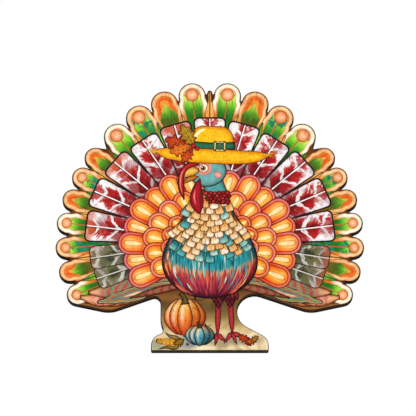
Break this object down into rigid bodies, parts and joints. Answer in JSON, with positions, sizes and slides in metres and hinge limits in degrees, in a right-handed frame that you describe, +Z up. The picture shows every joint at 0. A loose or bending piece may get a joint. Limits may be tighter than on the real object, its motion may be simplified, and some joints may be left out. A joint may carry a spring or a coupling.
{
  "type": "turkey door hanger",
  "caption": "Flat cut-out turkey with a scalloped fan tail on a plinth, printed front, hung on a door by hinged D-rings on straps at the back.",
  "frame": {"origin": "on the board's flat back face, on its centre line, midway between the two D-ring hinges", "axes": "+Z up, +Y out of the back toward the door, the printed front faces -Y, +X to the right seen from the front"},
  "size_m": [0.61, 0.0238, 0.5499],
  "materials": {
    "board_paint": "fibreboard, edges and back painted matt black",
    "printed_sheet": "colour print in a satin clear coat",
    "zinc_plate": "zinc-plated strip",
    "zinc_wire": "zinc-plated wire",
    "screw_zinc": "yellow-passivated zinc",
    "bumper_rubber": "moulded black rubber"
  },
  "bodies": {
    "hanging": {"board": "board_paint", "printed_face": "printed_sheet", "strap_left": "zinc_plate", "strap_right": "zinc_plate", "screw_left_upper": "screw_zinc", "screw_left_lower": "screw_zinc", "screw_right_upper": "screw_zinc", "screw_right_lower": "screw_zinc", "bumper_upper_left": "bumper_rubber", "bumper_upper_right": "bumper_rubber", "bumper_lower_left": "bumper_rubber", "bumper_lower_right": "bumper_rubber"},
    "ring_left": {"d_ring_left": "zinc_wire"},
    "ring_right": {"d_ring_right": "zinc_wire"}
  },
  "joints": [
    {"name": "ring_left_hinge", "type": "hinge", "parent": "hanging", "child": "ring_left", "pos_m": [-0.095, 0.003, 0], "axis": [-1, 0, 0], "range_deg": [0, 183]},
    {"name": "ring_right_hinge", "type": "hinge", "parent": "hanging", "child": "ring_right", "pos_m": [0.095, 0.003, 0], "axis": [-1, 0, 0], "range_deg": [0, 183]}
  ]
}
